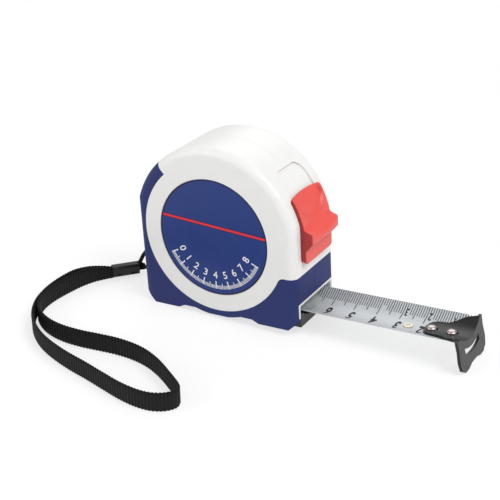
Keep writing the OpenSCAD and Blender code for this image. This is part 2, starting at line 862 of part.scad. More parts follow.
// Round cord along a route in space
module round_cord(path, r) {
    skin([for (i = [0 : len(path) - 1]) let (
        d = tangent(path, i),
        side = unit(cross(d, [0, 1, 0.2])),
        up = cross(side, d)) [for (a = [0 : 45 : 315])
        path[i] + r * (cos(a) * side - sin(a) * up)]]);
}

module strap_clip() {
    color([0.2, 0.2, 0.21]) on_floor() translate([clip_mid[0], clip_mid[1], clip_lift]) rotate(clip_turn)
        difference() {
            translate([-strap_clip_len / 2, 0, 0]) rotate([0, 90, 0])
                translate([-clip_h, 0, 0]) linear_extrude(strap_clip_len)
                    round_rect(0, clip_h, clip_thick / 2, 1.2);
            for (x = [-3.2, 3.2]) translate([x - 1.2, -clip_thick, 0.9]) cube([2.4, clip_thick - 1.7, 1.4]);
        }
}

module strap_webbing() {
    color([0.12, 0.12, 0.12]) on_floor() flat_cord(strap_route, strap_w, strap_t, strap_lift);
}

module lanyard_loop() {
    color([0.1, 0.1, 0.1]) round_cord(loop_route, cord_r);
}

module lanyard_knot() {
    color([0.1, 0.1, 0.1]) translate(knot_mid) sphere(knot_r);
}

left_shell();
right_shell();
left_grip();
right_grip();
left_label();
right_label();
mouth_lip();
lock_button();
lock_slider();
brake_pad();
arbor();
spool();
spool_cap();
mainspring();
blade_coil();
left_liner();
right_liner();
blade_lead();
blade();
blade_eyelet();
hook();
hook_rivets();
case_screws();
belt_clip();
clip_screw();
lanyard_pin();
lanyard_loop();
lanyard_knot();
strap_clip();
strap_webbing();
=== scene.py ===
import json
import math

import bmesh
import bpy
from mathutils import Matrix, Vector

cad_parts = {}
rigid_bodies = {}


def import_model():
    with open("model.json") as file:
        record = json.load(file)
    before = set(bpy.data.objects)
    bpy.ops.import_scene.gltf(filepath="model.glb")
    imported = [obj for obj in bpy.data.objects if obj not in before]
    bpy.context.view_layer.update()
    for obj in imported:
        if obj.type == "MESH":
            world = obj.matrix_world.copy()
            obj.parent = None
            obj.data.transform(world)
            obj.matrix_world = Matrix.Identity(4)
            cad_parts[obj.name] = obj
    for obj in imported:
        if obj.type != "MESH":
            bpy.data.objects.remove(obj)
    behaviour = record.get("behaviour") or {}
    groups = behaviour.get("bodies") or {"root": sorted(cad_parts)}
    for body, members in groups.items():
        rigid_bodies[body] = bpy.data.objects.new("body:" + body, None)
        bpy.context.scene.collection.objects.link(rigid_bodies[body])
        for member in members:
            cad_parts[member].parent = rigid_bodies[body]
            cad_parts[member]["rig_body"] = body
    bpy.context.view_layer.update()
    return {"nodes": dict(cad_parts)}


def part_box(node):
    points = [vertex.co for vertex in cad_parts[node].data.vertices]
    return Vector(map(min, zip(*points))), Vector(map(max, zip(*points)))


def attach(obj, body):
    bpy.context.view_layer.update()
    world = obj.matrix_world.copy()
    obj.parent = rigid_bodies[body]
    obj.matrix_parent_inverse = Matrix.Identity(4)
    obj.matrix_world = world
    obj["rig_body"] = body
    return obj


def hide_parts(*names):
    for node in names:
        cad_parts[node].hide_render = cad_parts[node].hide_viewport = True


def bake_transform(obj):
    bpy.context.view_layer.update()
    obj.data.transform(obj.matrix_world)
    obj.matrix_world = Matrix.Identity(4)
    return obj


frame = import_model()

MM = 0.001
scene = bpy.context.scene


def mm(*p):
    return Vector(p) * MM


# ---- Sizes read from the frame ----

label_low, label_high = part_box("left_label")
LABEL_Z = (label_low.z + label_high.z) / 2
LEFT_FACE_Y = label_low.y
RIGHT_FACE_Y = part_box("right_label")[1].y
blade_low, blade_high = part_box("blade")
BLADE_T = 0.15 * MM
BLADE_Z = blade_low.z + BLADE_T
HALF_CHORD = blade_high.y
SAG = blade_high.z - BLADE_Z
CURVE_R = (HALF_CHORD ** 2 + SAG ** 2) / (2 * SAG)
hook_low, hook_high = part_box("hook")
# The object rests on its rear foot and on the hook's tip, which ends a little behind the hook's face
REAR_FOOT_X = -31 * MM
HOOK_TIP_BACK = 2 * MM
FLOOR_TILT = math.atan(-hook_low.z / (hook_high.x - HOOK_TIP_BACK - REAR_FOOT_X))

# ---- Camera ----

YAW, PITCH, ROLL = (math.radians(a) for a in (31.235, 24.192, -3.271))
forward = Vector((-math.sin(YAW) * math.cos(PITCH), math.cos(YAW) * math.cos(PITCH), -math.sin(PITCH)))
level = Vector((math.cos(YAW), math.sin(YAW), 0))
upright = level.cross(forward)
right = level * math.cos(ROLL) + upright * math.sin(ROLL)
up = -level * math.sin(ROLL) + upright * math.cos(ROLL)
camera = bpy.data.objects.new("camera", bpy.data.cameras.new("camera"))
scene.collection.objects.link(camera)
turned = Matrix((right, up, -forward)).transposed().to_4x4()
camera.matrix_world = Matrix.Translation(mm(244.6, -391.9, 229.7)) @ turned
camera.data.sensor_width = 36
camera.data.lens = 87.4
camera.data.clip_start = 0.01
camera.data.clip_end = 20
scene.camera = camera

# ---- Materials ----


class Nodes:
    """Short calls for building one node material."""

    def __init__(self, name):
        self.material = bpy.data.materials.new(name)
        self.material.use_nodes = True
        self.tree = self.material.node_tree
        self.shader = self.tree.nodes["Principled BSDF"]
        self.place = self.add("ShaderNodeTexCoord").outputs["Object"]

    def add(self, kind, **values):
        node = self.tree.nodes.new(kind)
        for key, value in values.items():
            setattr(node, key, value)
        return node

    def link(self, source, target):
        if hasattr(source, "is_output"):
            self.tree.links.new(source, target)
        else:
            target.default_value = source

    def scaled(self, x, y, z, source=None):
        node = self.add("ShaderNodeMapping")
        self.link(source or self.place, node.inputs["Vector"])
        node.inputs["Scale"].default_value = (x, y, z)
        return node.outputs["Vector"]

    def noise(self, scale, detail=3, rough=0.5, vector=None):
        node = self.add("ShaderNodeTexNoise")
        self.link(vector or self.place, node.inputs["Vector"])
        node.inputs["Scale"].default_value = scale
        node.inputs["Detail"].default_value = detail
        node.inputs["Roughness"].default_value = rough
        return node.outputs["Fac"]

    def cells(self, scale, vector=None):
        node = self.add("ShaderNodeTexVoronoi", feature="SMOOTH_F1")
        self.link(vector or self.place, node.inputs["Vector"])
        node.inputs["Scale"].default_value = scale
        return node.outputs["Distance"]

    def math(self, operation, a, b=0.0):
        node = self.add("ShaderNodeMath", operation=operation)
        self.link(a, node.inputs[0])
        self.link(b, node.inputs[1])
        return node.outputs[0]

    def range(self, value, low, high, to_low, to_high):
        node = self.add("ShaderNodeMapRange")
        keys = ("Value", "From Min", "From Max", "To Min", "To Max")
        for key, v in zip(keys, (value, low, high, to_low, to_high)):
            self.link(v, node.inputs[key])
        return node.outputs[0]

    def link_colour(self, colour, target):
        self.link(colour if hasattr(colour, "is_output") else (*colour, 1), target)

    def mix(self, share, a, b):
        node = self.add("ShaderNodeMix", data_type="RGBA")
        self.link(share, node.inputs["Factor"])
        # A Mix node's colour sockets come after those of its other data types
        self.link_colour(a, node.inputs[6])
        self.link_colour(b, node.inputs[7])
        return node.outputs[2]

    def bump(self, height, strength, distance, normal=None):
        node = self.add("ShaderNodeBump")
        node.inputs["Strength"].default_value = strength
        node.inputs["Distance"].default_value = distance
        self.link(height, node.inputs["Height"])
        if normal:
            self.link(normal, node.inputs["Normal"])
        return node.outputs["Normal"]

    def rounded(self, radius):
        node = self.add("ShaderNodeBevel", samples=4)
        node.inputs["Radius"].default_value = radius
        return node.outputs["Normal"]

    def finish(self, colour, rough, normal=None, **constants):
        self.link_colour(colour, self.shader.inputs["Base Color"])
        self.link(rough, self.shader.inputs["Roughness"])
        if normal:
            self.link(normal, self.shader.inputs["Normal"])
        for key, value in constants.items():
            self.shader.inputs[key.replace("_", " ")].default_value = value
        return self.material


def shade(colour, factor):
    return tuple(min(1.0, c * factor) for c in colour)


GRAIN_SCALE = 2600
# Reach of the ambient occlusion that paints shade into recesses
PAINTED_SHADE_REACH = 3.5 * MM


def moulded(name, colour, rough, grain=0.02, vary=0.06, edge=0.25, painted_shade=None, **constants):
    """Moulded plastic: slight cloudiness, spark-eroded grain, faint rubbed patches and softened edges.
    grain and edge are in millimetres. The painted shade colour, if given, is painted in as shade where
    ambient occlusion finds recesses and on side walls whose normals face across y."""
    n = Nodes(name)
    cloud = n.noise(90, 4, 0.6)
    tone = n.mix(n.range(cloud, 0.35, 0.65, 0, 1), shade(colour, 1 - vary), shade(colour, 1 + vary * 0.6))
    # Painted shade in recesses: the darker colour is mixed in where ambient occlusion finds nearby surfaces
    if painted_shade:
        near = n.add("ShaderNodeAmbientOcclusion", samples=6)
        near.inputs["Distance"].default_value = PAINTED_SHADE_REACH
        tone = n.mix(n.range(near.outputs["AO"], 0.4, 0.9, 0, 1), painted_shade, tone)
        # Painted shade on side walls: the darker colour is mixed in where the true normal turns across y
        across = n.add("ShaderNodeSeparateXYZ")
        n.link(n.add("ShaderNodeNewGeometry").outputs["True Normal"], across.inputs[0])
        tone = n.mix(n.range(n.math("ABSOLUTE", across.outputs["Y"]), 0.55, 0.9, 0, 0.8), tone, painted_shade)
    scuff = n.noise(700, 5, 0.7, n.scaled(1, 1, 0.25))
    wear = n.math("ADD", cloud, n.math("MULTIPLY", scuff, 0.6))
    roughness = n.range(wear, 0.5, 1.1, rough - 0.06, rough + 0.08)
    height = n.math("ADD", n.cells(GRAIN_SCALE), n.math("MULTIPLY", n.noise(GRAIN_SCALE * 0.6, 2), 0.7))
    normal = n.bump(height, 1.0, grain * MM, n.rounded(edge * MM))
    return n.finish(tone, roughness, normal, **constants)


def metal(name, colour, rough, brushed=(1, 60, 60), vary=0.12, edge=0.15, scratch=0.004, **constants):
    """Metal with fine drawn lines, small stains and rubbed edges."""
    n = Nodes(name)
    lines = n.noise(900, 3, 0.7, n.scaled(*brushed))
    stain = n.noise(160, 5, 0.65)
    tone = n.mix(n.range(stain, 0.3, 0.7, 0, 1), shade(colour, 1 - vary), shade(colour, 1 + vary * 0.5))
    roughness = n.range(n.math("ADD", lines, stain), 0.7, 1.3, rough - 0.08, rough + 0.1)
    normal = n.bump(lines, 1.0, scratch * MM, n.rounded(edge * MM))
    return n.finish(tone, roughness, normal, Metallic=constants.pop("Metallic", 1.0), **constants)


def printed(name, colour, rough=0.5):
    """Ink with slight unevenness."""
    n = Nodes(name)
    speck = n.noise(2500, 4, 0.7)
    tone = n.mix(n.range(speck, 0.35, 0.65, 0, 1), shade(colour, 0.88), shade(colour, 1.1))
    return n.finish(tone, n.range(speck, 0.3, 0.7, rough - 0.05, rough + 0.08), Specular_IOR_Level=0.25)


def textile(name, colour, scale):
    """Nylon yarn: fine fibres, painted shade darker between the ribs so that the rib tips stand lighter, and
    a soft sheen.
    """
    n = Nodes(name)
    fibre = n.noise(scale, 4, 0.75, n.scaled(1, 1, 5))
    fuzz = n.noise(scale * 2.2, 3, 0.7)
    tone = n.mix(n.range(fibre, 0.38, 0.68, 0, 1), shade(colour, 0.65), shade(colour, 1.8))
    # Painted shade: the valleys between ribs, found by low pointiness, are painted much darker
    valley_shade_mask = n.range(n.add("ShaderNodeNewGeometry").outputs["Pointiness"], 0.46, 0.54, 0, 1)
    tone = n.mix(valley_shade_mask, shade(colour, 0.15), tone)
    height = n.math("ADD", fibre, n.math("MULTIPLY", fuzz, 0.6))
    normal = n.bump(height, 1.0, 0.06 * MM)
    return n.finish(tone, n.range(fuzz, 0.3, 0.7, 0.68, 0.88), normal,
                    Sheen_Weight=0.06, Sheen_Roughness=0.4, Specular_IOR_Level=0.3)


white = moulded("white_plastic", (0.86, 0.855, 0.84), 0.36, grain=0.012, vary=0.015, edge=0.3)
navy = moulded("navy_rubber", (0.017, 0.028, 0.14), 0.55, grain=0.025, vary=0.08, edge=0.25,
               Specular_IOR_Level=0.3)
label_blue = moulded("label_film", (0.014, 0.04, 0.2), 0.34, grain=0.004, vary=0.04, edge=0.08,
                     Specular_IOR_Level=0.3)
# The deeper red given here is painted shade for the button's recesses and side walls
red = moulded("red_plastic", (0.83, 0.085, 0.068), 0.38, grain=0.005, vary=0.03, edge=0.22,
              painted_shade=(0.27, 0.003, 0.007))
black = moulded("black_plastic", (0.014, 0.014, 0.016), 0.42, grain=0.015, vary=0.2, edge=0.2)
glossy_black = moulded("glossy_black_plastic", (0.013, 0.013, 0.0135), 0.34, grain=0.006, vary=0.2,
                       edge=0.35, Specular_IOR_Level=0.35)
black_rubber = moulded("black_rubber", (0.018, 0.018, 0.018), 0.7, grain=0.03, vary=0.15)
pale = moulded("pale_plastic", (0.62, 0.61, 0.56), 0.4, vary=0.05)
# Blackened steel: its coating reflects as paint does
black_steel = metal("black_steel", (0.012, 0.012, 0.013), 0.3, brushed=(1, 1, 1), edge=0.3,
                    Metallic=0.0, Specular_IOR_Level=0.35)
bright = metal("bright_steel", (0.62, 0.62, 0.63), 0.3, brushed=(1, 8, 8))
rivet_metal = metal("rivet_metal", (0.56, 0.5, 0.47), 0.3, brushed=(1, 1, 1), scratch=0.008)
brass = metal("pale_brass", (0.66, 0.6, 0.47), 0.34, brushed=(1, 1, 1))
spring_steel = metal("spring_steel", (0.3, 0.33, 0.4), 0.35, brushed=(20, 1, 20))
ink_black = printed("black_ink", (0.018, 0.018, 0.02))
ink_red = printed("red_ink", (0.75, 0.03, 0.05))
ink_dark = printed("dark_ink", (0.02, 0.012, 0.04))
ink_white = printed("white_ink", (0.82, 0.82, 0.82))
webbing_black = textile("webbing_yarn", (0.0115, 0.0103, 0.0096), 2600)
cord_black = textile("cord_yarn", (0.011, 0.0105, 0.01), 3200)


def blade_material():
    """Clear coated blade steel, painted a pale silver grey, with fine lines along its length."""
    n = Nodes("blade_paint")
    lines = n.noise(1200, 3, 0.7, n.scaled(0.03, 1, 1))
    cloud = n.noise(120, 4, 0.6)
    drawn = n.range(n.math("ADD", lines, cloud), 0.75, 1.25, 0, 1)
    tone = n.mix(drawn, (0.5, 0.535, 0.56), (0.57, 0.605, 0.63))
    roughness = n.range(cloud, 0.3, 0.7, 0.34, 0.44)
    return n.finish(tone, roughness, n.bump(lines, 1.0, 0.003 * MM), Metallic=0.1, Specular_IOR_Level=0.4)


blade_paint = blade_material()

# ---- Mesh helpers ----


def new_object(name, mesh, material, body=None):
    obj = bpy.data.objects.new(name, mesh)
    scene.collection.objects.link(obj)
    for m in material if isinstance(material, (list, tuple)) else [material]:
        mesh.materials.append(m)
    if body:
        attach(obj, body)
    return obj


def mesh_from(name, points, faces, materials=None):
    mesh = bpy.data.meshes.new(name)
    mesh.from_pydata([tuple(p) for p in points], [], faces)
    mesh.validate()
    if materials:
        mesh.polygons.foreach_set("material_index", materials)
    mesh.polygons.foreach_set("use_smooth", [True] * len(mesh.polygons))
    return mesh


def rows_mesh(name, rows, around=False, caps=False):
    """Skin over rows of points. around closes each row into a ring, and caps closes the two ends."""
    n = len(rows[0])
    points = [p for row in rows for p in row]
    faces = []
    for i in range(len(rows) - 1):
        for j in range(n if around else n - 1):
            k = (j + 1) % n
            faces.append((i * n + j, i * n + k, (i + 1) * n + k, (i + 1) * n + j))
    if caps:
        faces.append(tuple(range(n - 1, -1, -1)))
        faces.append(tuple(range((len(rows) - 1) * n, len(rows) * n)))
    return mesh_from(name, points, faces)


def set_sharp(mesh, degrees):
    mesh.set_sharp_from_angle(angle=math.radians(degrees))


def apply_modifiers(obj):
    bpy.context.view_layer.update()
    done = bpy.data.meshes.new_from_object(obj.evaluated_get(bpy.context.evaluated_depsgraph_get()))
    obj.modifiers.clear()
    obj.data = done


def refined(node, name, material, width, segments=2, angle=32):
    """A copy of a CAD node with its edges rounded over, which stands for that node. width is the
    rounding's, in millimetres, and edges that turn by less than angle are left alone."""
    source = frame["nodes"][node]
    bm = bmesh.new()
    bm.from_mesh(source.data)
    bmesh.ops.remove_doubles(bm, verts=bm.verts, dist=2e-6)
    bmesh.ops.dissolve_limit(bm, angle_limit=math.radians(0.5), verts=bm.verts, edges=bm.edges)
    mesh = bpy.data.meshes.new(name)
    bm.to_mesh(mesh)
    bm.free()
    obj = new_object(name, mesh, material)
    bevel = obj.modifiers.new("bevel", "BEVEL")
    bevel.width = width * MM
    bevel.segments = segments
    bevel.limit_method = "ANGLE"
    bevel.angle_limit = math.radians(angle)
    bevel.harden_normals = False
    bevel.miter_outer = "MITER_ARC"
    apply_modifiers(obj)
    obj.data.polygons.foreach_set("use_smooth", [True] * len(obj.data.polygons))
    set_sharp(obj.data, 38)
    # Large faces keep their own shading right up to the roundings
    weigh = obj.modifiers.new("weigh", "WEIGHTED_NORMAL")
    weigh.keep_sharp = True
    apply_modifiers(obj)
    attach(obj, source["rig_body"])
    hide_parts(node)
    return obj


def smooth_path(points, step):
    """Catmull-Rom curve through the points, resampled evenly, and its length."""
    dense = []
    count, cuts = len(points), 24
    for i in range(count - 1):
        before, a, b, after = (points[min(max(i + k, 0), count - 1)] for k in (-1, 0, 1, 2))
        for s in range(cuts):
            t = s / cuts
            dense.append(0.5 * (2 * a + (b - before) * t
                                + (2 * before - 5 * a + 4 * b - after) * t * t
                                + (3 * a - 3 * b + after - before) * t ** 3))
    dense.append(points[-1])
    total = sum((b - a).length for a, b in zip(dense, dense[1:]))
    steps = max(2, round(total / step))
    path, walked, i = [dense[0]], 0.0, 0
    for k in range(1, steps):
        goal = total * k / steps
        while walked + (dense[i + 1] - dense[i]).length < goal:
            walked += (dense[i + 1] - dense[i]).length
            i += 1
        path.append(dense[i].lerp(dense[i + 1], (goal - walked) / (dense[i + 1] - dense[i]).length))
    return path + [dense[-1]], total


def directions(path):
    return [(path[min(i + 1, len(path) - 1)] - path[max(i - 1, 0)]).normalized() for i in range(len(path))]


# ---- Wrist strap and its cord: they come before everything else ----

# Turns what lies flat on the base plane onto the floor, which slopes down to the hook's tip
foot = Matrix.Translation((REAR_FOOT_X, 0, 0))
tilt_back = foot @ Matrix.Rotation(FLOOR_TILT, 4, "Y") @ foot.inverted()
STRAP_W, STRAP_T, STRAP_LIFT = 8 * MM, 1.2 * MM, 0.15 * MM
RIB, RIB_STEPS = 1.45 * MM, 6
strap_route = [(-61.8, -5.9), (-64.5, -9.5), (-67.5, -15), (-70, -22), (-71, -30), (-70.7, -38),
               (-69.4, -45), (-67, -52), (-62.5, -59.5), (-56, -66.5), (-48, -72.2), (-39, -76.4),
               (-29, -79.8), (-19, -82.4), (-9, -85.3), (0, -87.8), (8, -89.1), (14.5, -88.8),
               (19.5, -86.4), (22, -82.6), (21, -79.2), (17.5, -76.3), (13, -73.2), (8, -69.8),
               (2.5, -66.6), (-4, -63.8), (-11, -62.2), (-19, -61.8), (-27, -62.6), (-35, -63.6),
               (-43, -63.7), (-50.5, -62.4), (-57.5, -59.4), (-63.4, -54.8), (-67, -49), (-68.7, -43),
               (-69, -36), (-68.2, -28), (-67, -21), (-64.9, -14.9), (-62.3, -10.6), (-60, -7.5)]
strap_gather = [0.56, 0.72, 0.9, 1]


def gathered(step):
    """Height of the strap's middle above the floor: the clip gathers the webbing's two ends."""
    return STRAP_LIFT + STRAP_W / 2 * strap_gather[min(step, len(strap_gather) - 1)]


strap_line = [mm(x, y, 0) + Vector((0, 0, gathered(min(i, len(strap_route) - 1 - i))))
              for i, (x, y) in enumerate(strap_route)]


# The webbing's section, as (place across the width, side): up one face and down the other
FACE_POINTS = 10
rising = [-1 + 2 * k / (FACE_POINTS - 1) for k in range(FACE_POINTS)]
SECTION = [(v, 1) for v in rising] + [(1.02, 0)] + [(-v, -1) for v in rising] + [(-1.02, 0)]


def build_webbing():
    """Flat ribbed webbing that stands on its edge, with a rounded selvedge along each side."""
    path, total = smooth_path(strap_line, RIB / RIB_STEPS)
    rows = []
    for i, (p, d) in enumerate(zip(path, directions(path))):
        side = Vector((d.y, -d.x, 0)).normalized()
        rib = 0.5 + 0.5 * math.cos(2 * math.pi * i / RIB_STEPS)
        thick = STRAP_T / 2 * (0.5 + 0.5 * rib ** 0.5)
        wide = (p.z - STRAP_LIFT) * (0.95 + 0.05 * rib)
        row = []
        for across, face in SECTION:
            selvedge = min(1.0, 2.4 * (1.03 - abs(across)) ** 0.5)
            weave = 1 + 0.07 * math.cos(across * 16)
            row.append(p + side * face * thick * selvedge * weave + Vector((0, 0, across * wide)))
        rows.append(row)
    mesh = rows_mesh("webbing", rows, around=True, caps=True)
    mesh.transform(tilt_back)
    obj = new_object("webbing", mesh, webbing_black, "case")
    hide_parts("strap_webbing")
    return obj, [tilt_back @ p for p in path[::RIB_STEPS]], total


webbing, webbing_path, webbing_length = build_webbing()

loop_route = [(-54, 1.2, 4.8), (-52.2, 2.7, 6.4), (-50.4, 3.2, 9.6), (-47.3, 2.8, 13), (-42.5, 1.8, 15.8),
              (-38, 0.7, 16.8), (-35.2, 0.1, 17), (-33.3, 0, 16.85), (-31.65, 0, 16.15), (-30.95, 0, 14.5),
              (-31.65, 0, 12.85), (-33.3, 0, 12.15), (-35.4, 0.1, 11.7), (-39, 0.8, 10.2), (-43.5, 1.9, 7.6),
              (-47.5, 2.7, 5.2), (-50.5, 3.1, 3.7), (-52.2, 2.7, 3.3), (-54, 1.2, 3.2)]


def braid(name, path, radius, material, strands=5, pitch=2.6 * MM):
    """Braided cord: a tube whose skin carries two crossing sets of raised strands."""
    rows, walked, around = [], 0.0, 20
    side = Vector((0, 1, 0.2)).normalized()
    for i, (p, d) in enumerate(zip(path, directions(path))):
        if i:
            walked += (p - path[i - 1]).length
        across = d.cross(side).normalized()
        other = across.cross(d).normalized()
        twist = 2 * math.pi * walked / pitch
        row = []
        for k in range(around):
            a = 2 * math.pi * k / around
            bumps = max(math.cos(strands * a + twist * 2), math.cos(strands * a - twist * 2))
            r = radius * (0.9 + 0.1 * bumps)
            row.append(p + r * (math.cos(a) * across + math.sin(a) * other))
        rows.append(row)
    return new_object(name, rows_mesh(name, rows, around=True, caps=True), material, "case")


CORD_D = 1.8 * MM
loop_path, loop_length = smooth_path([mm(*p) for p in loop_route], 0.22 * MM)
cord_loop = braid("cord_loop", loop_path, CORD_D / 2, cord_black)
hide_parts("lanyard_loop")

clip_block = refined("strap_clip", "clip_block", glossy_black, 0.5, segments=4, angle=30)


def build_knot():
    """Overhand knot of the cord: three lumps wound round each other."""
    low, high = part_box("lanyard_knot")
    mid = (low + high) / 2
    radius = (high.z - low.z) / 2
    points, steps, wide, thick = [], 90, 0.78 * 0.72, 0.55
    for i in range(steps + 1):
        a = 2 * math.pi * i / steps
        points.append(mid + 0.5 * radius * Vector((wide * (math.sin(a) + 1.1 * math.sin(2 * a)),
                                                   thick * math.sin(3 * a),
                                                   wide * (math.cos(a) - 1.1 * math.cos(2 * a)))))
    return braid("cord_knot", points, 0.8 * MM, cord_black)


knot = build_knot()
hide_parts("lanyard_knot")

# ---- Case ----

for node, name in (("left_shell", "shell_left"), ("right_shell", "shell_right")):
    refined(node, name, white, 0.22)
for node, name in (("left_grip", "grip_left"), ("right_grip", "grip_right")):
    refined(node, name, navy, 0.18)
refined("mouth_lip", "lip", black, 0.25)
refined("belt_clip", "clip_spring", bright, 0.18)
refined("left_label", "disc_left", label_blue, 0.12)
refined("right_label", "disc_right", label_blue, 0.12)

# ---- Thumb button ----

# In millimetres. arc runs up the case's rounded front from the height of the label's centre, and y across.
BUTTON_HALF, CASE_R = 11.3, 38.0
# Within FLAT_WITHIN degrees of level the case's front is flat, FLAT_X from the label's centre
FLAT_WITHIN, FLAT_X, FLAT_STEP = 15, 37.2, 0.25
# Lower panel: its lowest edge, its top edge and its height. LIP_LOW is where the lip starts to stand up.
PANEL_LOW, PANEL_TOP, PANEL_H, LIP_LOW = -7.0, -1.6, 1.9, 1.8
# Lip: distance of its front face, its bulge in the middle and the rounding of its upper edge
LIP_X, LIP_BULGE, LIP_ROUND, LIP_ROUND_ARC = 42.4, 0.25, 0.45, 1.1
# Upper pad: its height, its top edge and how far it dips from the dish's middle upwards
PAD_H, PAD_TOP, PAD_DIP = 1.6, 20.7, 0.25
# Thumb dish: its middle, the half widths and heights of its floor and of its rim, and the button's
# height that is left in its middle
DISH_ARC, DISH_FLOOR, DISH_RIM, DISH_LEFT = 17, (9.3, 6.5), (10.5, 8.6), 0.3
# Half width at which the lip and the pad end across
ACROSS = 11
SKIRT_H = -0.35


def ease(t):
    t = min(1.0, max(0.0, t))
    return t * t * (3 - 2 * t)


def case_face(arc):
    """Distance from the label's centre to the case's front, which is round but flat near level."""
    a = arc / CASE_R
    if abs(math.degrees(a)) > FLAT_WITHIN:
        return CASE_R
    return min(CASE_R, FLAT_X / math.cos(a) + FLAT_STEP)


def lip_top(y):
    """Where the lip's front face ends above: lower in the middle, where the thumb rests."""
    return 3.75 + 1.95 * (abs(y) / ACROSS) ** 1.6


def ramp_top(y):
    """Where the ramp behind the lip runs out into the upper pad: longer in the middle."""
    return lip_top(y) + 5.3 - 2.6 * min(1.0, abs(y) / ACROSS) ** 1.5


def dish_share(arc, y):
    """0 inside the thumb dish, 1 outside it, and a straight bevel in between."""
    inner, outer = (math.hypot(y / wide, max(0.0, DISH_ARC - arc) / high)
                    for wide, high in (DISH_FLOOR, DISH_RIM))
    if inner <= 1:
        return 0.0
    return 1.0 if outer >= 1 else (inner - 1) / (inner - outer)


def button_height(arc, y):
    """Height of the button above the case's rounded front, in millimetres."""
    k = min(1.0, abs(y) / ACROSS)

    def face(at):
        return (LIP_X + LIP_BULGE * (1 - k * k)) / math.cos(at / CASE_R) - case_face(at)

    if arc <= PANEL_TOP:
        return PANEL_H
    if arc <= LIP_LOW:
        return PANEL_H + (face(LIP_LOW) - PANEL_H) * (arc - PANEL_TOP) / (LIP_LOW - PANEL_TOP)
    if arc <= lip_top(y):
        return face(arc) - LIP_ROUND * max(0.0, 1 - (lip_top(y) - arc) / LIP_ROUND_ARC) ** 2
    t = max(0.0, (ramp_top(y) - arc) / (ramp_top(y) - lip_top(y)))
    h = PAD_H + (face(lip_top(y)) - LIP_ROUND - PAD_H) * t ** (1.3 + 1.6 * k * k)
    h -= PAD_DIP * ease((arc - DISH_ARC) / 4)
    floor = DISH_LEFT + 0.2 * (y / DISH_FLOOR[0]) ** 2
    return floor + (h - floor) * dish_share(arc, y)


def spread(n, low=False, high=False):
    """Fractions from 0 to 1, closer together at the low or the high end if asked."""
    even = [i / (n - 1) for i in range(n)]
    if low:
        return [t ** 2 for t in even]
    return [1 - (1 - t) ** 2 for t in even] if high else even


def build_button():
    """The button's skin as columns of points that run up the front, closed by a skirt that goes into the
    case. Columns and points stand closer together at the roundings and at the crisp edges."""
    corner, top_corner, edge, full_height = 2.0, 1.0, 0.4, 0.9
    inset = [0, 0.03, 0.1, 0.2, 0.32, 0.45]
    columns = [-BUTTON_HALF + v for v in inset]
    columns += [(BUTTON_HALF - inset[-1]) * (-1 + 2 * i / 90) for i in range(1, 90)]
    columns += [BUTTON_HALF - v for v in reversed(inset)]
    lines = []
    for y in columns:
        over = max(0.0, abs(y) - (BUTTON_HALF - corner))
        low = PANEL_LOW + corner - math.sqrt(corner ** 2 - over ** 2)
        over = max(0.0, abs(y) - (BUTTON_HALF - top_corner))
        rounding = top_corner - math.sqrt(max(0.0, top_corner ** 2 - over ** 2))
        high = PAD_TOP - 1.1 * (y / BUTTON_HALF) ** 2 - rounding
        knots = [(low, 14, True, False), (PANEL_TOP, 9, False, False), (LIP_LOW, 9, False, False),
                 (lip_top(y), 26, False, False), (ramp_top(y), 60, False, True), (high, 0, False, False)]
        line = []
        for (start, n, fine_low, fine_high), (stop, *_) in zip(knots, knots[1:]):
            part = [start + (stop - start) * t for t in spread(n, fine_low, fine_high)]
            line += part if not line else part[1:]
        row = []
        for arc in line:
            h = button_height(arc, y)
            inside = min(BUTTON_HALF - abs(y), arc - low, (high - arc) * 0.5)
            if inside < edge:
                drop = edge - math.sqrt(max(0.0, edge ** 2 - (edge - inside) ** 2))
                h -= drop * min(1.0, h / full_height)
            row.append((arc, y, h))
        lines.append(row)

    def place(arc, y, h):
        r = case_face(arc) + h
        return mm(r * math.cos(arc / CASE_R), y, r * math.sin(arc / CASE_R)) + Vector((0, 0, LABEL_Z))

    m, n = len(lines), len(lines[0])
    points = [place(*p) for row in lines for p in row]
    faces = [(i * n + j, (i + 1) * n + j, (i + 1) * n + j + 1, i * n + j + 1)
             for i in range(m - 1) for j in range(n - 1)]
    rim = [(0, j) for j in range(n)] + [(i, n - 1) for i in range(1, m)]
    rim += [(m - 1, j) for j in range(n - 2, -1, -1)] + [(i, 0) for i in range(m - 2, 0, -1)]
    start, count = len(points), len(rim)
    for i, j in rim:
        arc, y, _ = lines[i][j]
        points.append(place(arc, y, SKIRT_H))
    for k in range(count):
        (a, b), (c, d) = rim[k], rim[(k + 1) % count]
        faces.append((a * n + b, c * n + d, start + (k + 1) % count, start + k))
    mesh = mesh_from("thumb_button", points, faces)
    bm = bmesh.new()
    bm.from_mesh(mesh)
    bmesh.ops.recalc_face_normals(bm, faces=bm.faces)
    outward = max(bm.faces, key=lambda f: f.calc_center_median().x)
    if outward.normal.x < 0:
        bmesh.ops.reverse_faces(bm, faces=bm.faces)
    bm.to_mesh(mesh)
    bm.free()
    set_sharp(mesh, 32)
    obj = new_object("thumb_button", mesh, red, "lock")
    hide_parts("lock_button")


build_button()

# ---- Blade markings ----


